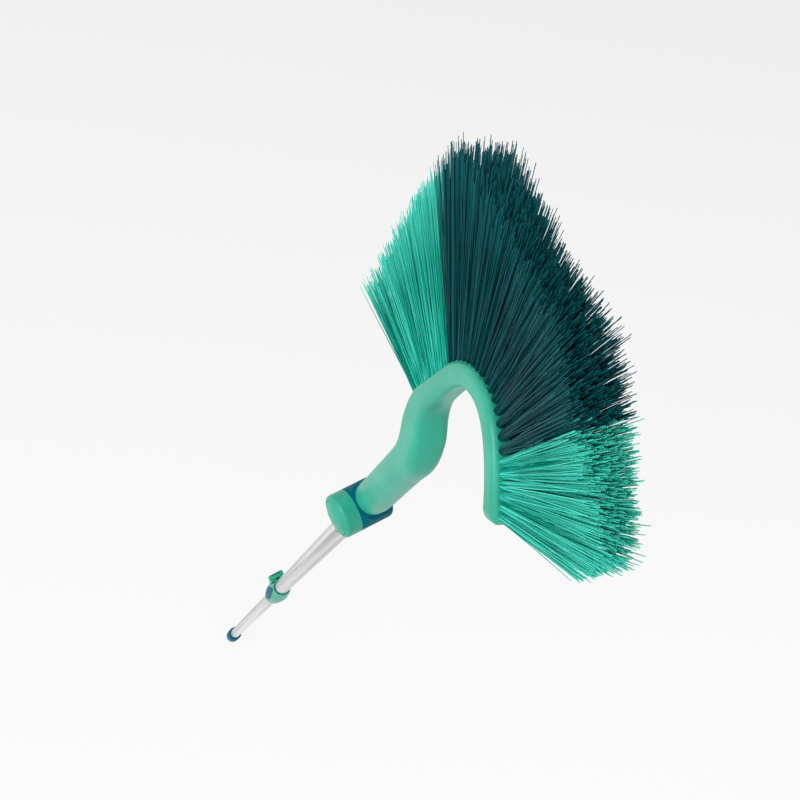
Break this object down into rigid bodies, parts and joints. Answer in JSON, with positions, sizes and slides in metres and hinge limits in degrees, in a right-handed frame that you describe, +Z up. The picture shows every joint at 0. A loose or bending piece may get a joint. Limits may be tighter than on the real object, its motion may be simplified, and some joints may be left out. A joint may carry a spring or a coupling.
{
  "type": "ceiling brush",
  "caption": "Arched ceiling and cobweb brush with two-colour bristles on a tilting push-button joint and a two-section telescopic pole with a clamp lever.",
  "frame": {"origin": "middle of the end cap's flat underside", "axes": "+Z up along the pole, the arch lies in the XZ plane with its neck side on -X, the joint's button faces -Y"},
  "size_m": [0.2684, 0.0563, 1.6314],
  "materials": {
    "mint_plastic": "satin moulded polypropylene",
    "petrol_plastic": "satin moulded polypropylene",
    "mint_bristles": "extruded polyester fibre",
    "dark_bristles": "extruded polyester fibre",
    "aluminium_tube": "satin drawn tube",
    "steel": "plain",
    "brake_rubber": "matt"
  },
  "bodies": {
    "lower_pole": {"lower_tube": "aluminium_tube", "end_cap": "petrol_plastic", "tube_stop": "petrol_plastic"},
    "upper_pole": {"upper_tube": "aluminium_tube", "clamp_collar": "mint_plastic", "collar_inlay": "petrol_plastic", "lever_pin": "steel", "clamp_shoe": "brake_rubber", "guide_ring": "petrol_plastic", "joint_base": "mint_plastic", "base_pin": "steel", "pivot_bolt": "steel", "pivot_nut": "steel"},
    "lever": {"clamp_lever": "mint_plastic"},
    "button": {"release_button": "mint_plastic", "lock_gear": "petrol_plastic"},
    "head": {"joint_head": "petrol_plastic", "joint_cap": "petrol_plastic", "lock_spring": "steel", "brush_back": "mint_plastic", "mint_bristles_neck": "mint_bristles", "dark_bristles_rise": "dark_bristles", "dark_bristles_top": "dark_bristles", "mint_bristles_tip": "mint_bristles", "click_spring": "steel"},
    "catch": {"click_button": "petrol_plastic"}
  },
  "joints": [
    {"name": "pole_slide", "type": "slide", "parent": "lower_pole", "child": "upper_pole", "axis": [0, 0, 1], "range_m": [-0.34, 0.11]},
    {"name": "lever_turn", "type": "hinge", "parent": "upper_pole", "child": "lever", "pos_m": [-0.01548, -0.00626, 0.692], "axis": [0.3746, -0.9272, 0], "range_deg": [0, 70]},
    {"name": "button_press", "type": "slide", "parent": "upper_pole", "child": "button", "axis": [-0.3746, 0.9272, 0], "range_m": [0, 0.003], "stiffness_N_per_m": 1200, "springref_m": -0.001},
    {"name": "head_tilt", "type": "hinge", "parent": "upper_pole", "child": "head", "pos_m": [0, 0, 1.206], "axis": [-0.3746, 0.9272, 0], "range_deg": [-90, 90]},
    {"name": "catch_press", "type": "slide", "parent": "head", "child": "catch", "axis": [-0.809, -0.5878, 0], "range_m": [0, 0.0024], "stiffness_N_per_m": 800, "springref_m": -0.0008}
  ]
}
